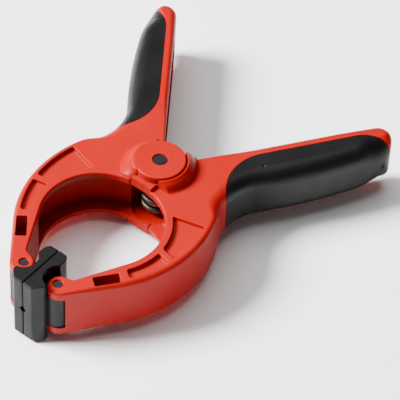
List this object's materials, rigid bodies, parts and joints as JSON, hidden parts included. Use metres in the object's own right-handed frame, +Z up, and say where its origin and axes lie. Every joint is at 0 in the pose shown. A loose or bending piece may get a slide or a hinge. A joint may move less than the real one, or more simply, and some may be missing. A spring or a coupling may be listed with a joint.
{
  "type": "spring clamp",
  "caption": "Large hand-operated plastic spring clamp with curved C-channel jaws, swivelling jaw pads, soft grips and a torsion spring on the pivot.",
  "frame": {"origin": "centre of the lower hub face, on the pivot axis; the clamp lies on its side with this face down", "axes": "+Z up along the pivot axis, +X along the clamp from the pivot towards the handles (jaws at -X), +Y from the closing plane towards arm a"},
  "size_m": [0.2404, 0.1814, 0.0496],
  "materials": {
    "red_plastic": "satin moulded plastic, fine texture",
    "black_rubber": "matte overmoulded soft grip",
    "pad_plastic": "matte dark grey moulded plastic",
    "steel": "oiled dark steel pins",
    "spring_steel": "drawn spring wire"
  },
  "bodies": {
    "arm_b_body": {"arm_b": "red_plastic", "grip_b": "black_rubber", "pad_pin_b": "steel", "pivot_pin": "steel", "pin_clip": "steel", "spring_bush": "pad_plastic", "torsion_spring": "spring_steel"},
    "arm_a_body": {"arm_a": "red_plastic", "grip_a": "black_rubber", "pad_pin_a": "steel"},
    "pad_a_body": {"pad_a": "pad_plastic"},
    "pad_b_body": {"pad_b": "pad_plastic"}
  },
  "joints": [
    {"name": "jaw_open", "type": "hinge", "parent": "arm_b_body", "child": "arm_a_body", "pos_m": [0, 0, 0.0248], "axis": [0, 0, -1], "range_deg": [0, 45], "stiffness_Nm_per_rad": 6, "springref_deg": -45.84, "deforming": ["torsion_spring"]},
    {"name": "pad_a_swivel", "type": "hinge", "parent": "arm_a_body", "child": "pad_a_body", "pos_m": [-0.1062, 0.0126, 0.0248], "axis": [0, 0, 1], "range_deg": [0, 22.5]},
    {"name": "pad_b_swivel", "type": "hinge", "parent": "arm_b_body", "child": "pad_b_body", "pos_m": [-0.1062, -0.0126, 0.0248], "axis": [0, 0, -1], "range_deg": [0, 22.5]}
  ],
  "couplings": [
    {"joint": "pad_a_swivel", "follows": "jaw_open", "ratio": 0.5},
    {"joint": "pad_b_swivel", "follows": "jaw_open", "ratio": 0.5}
  ]
}
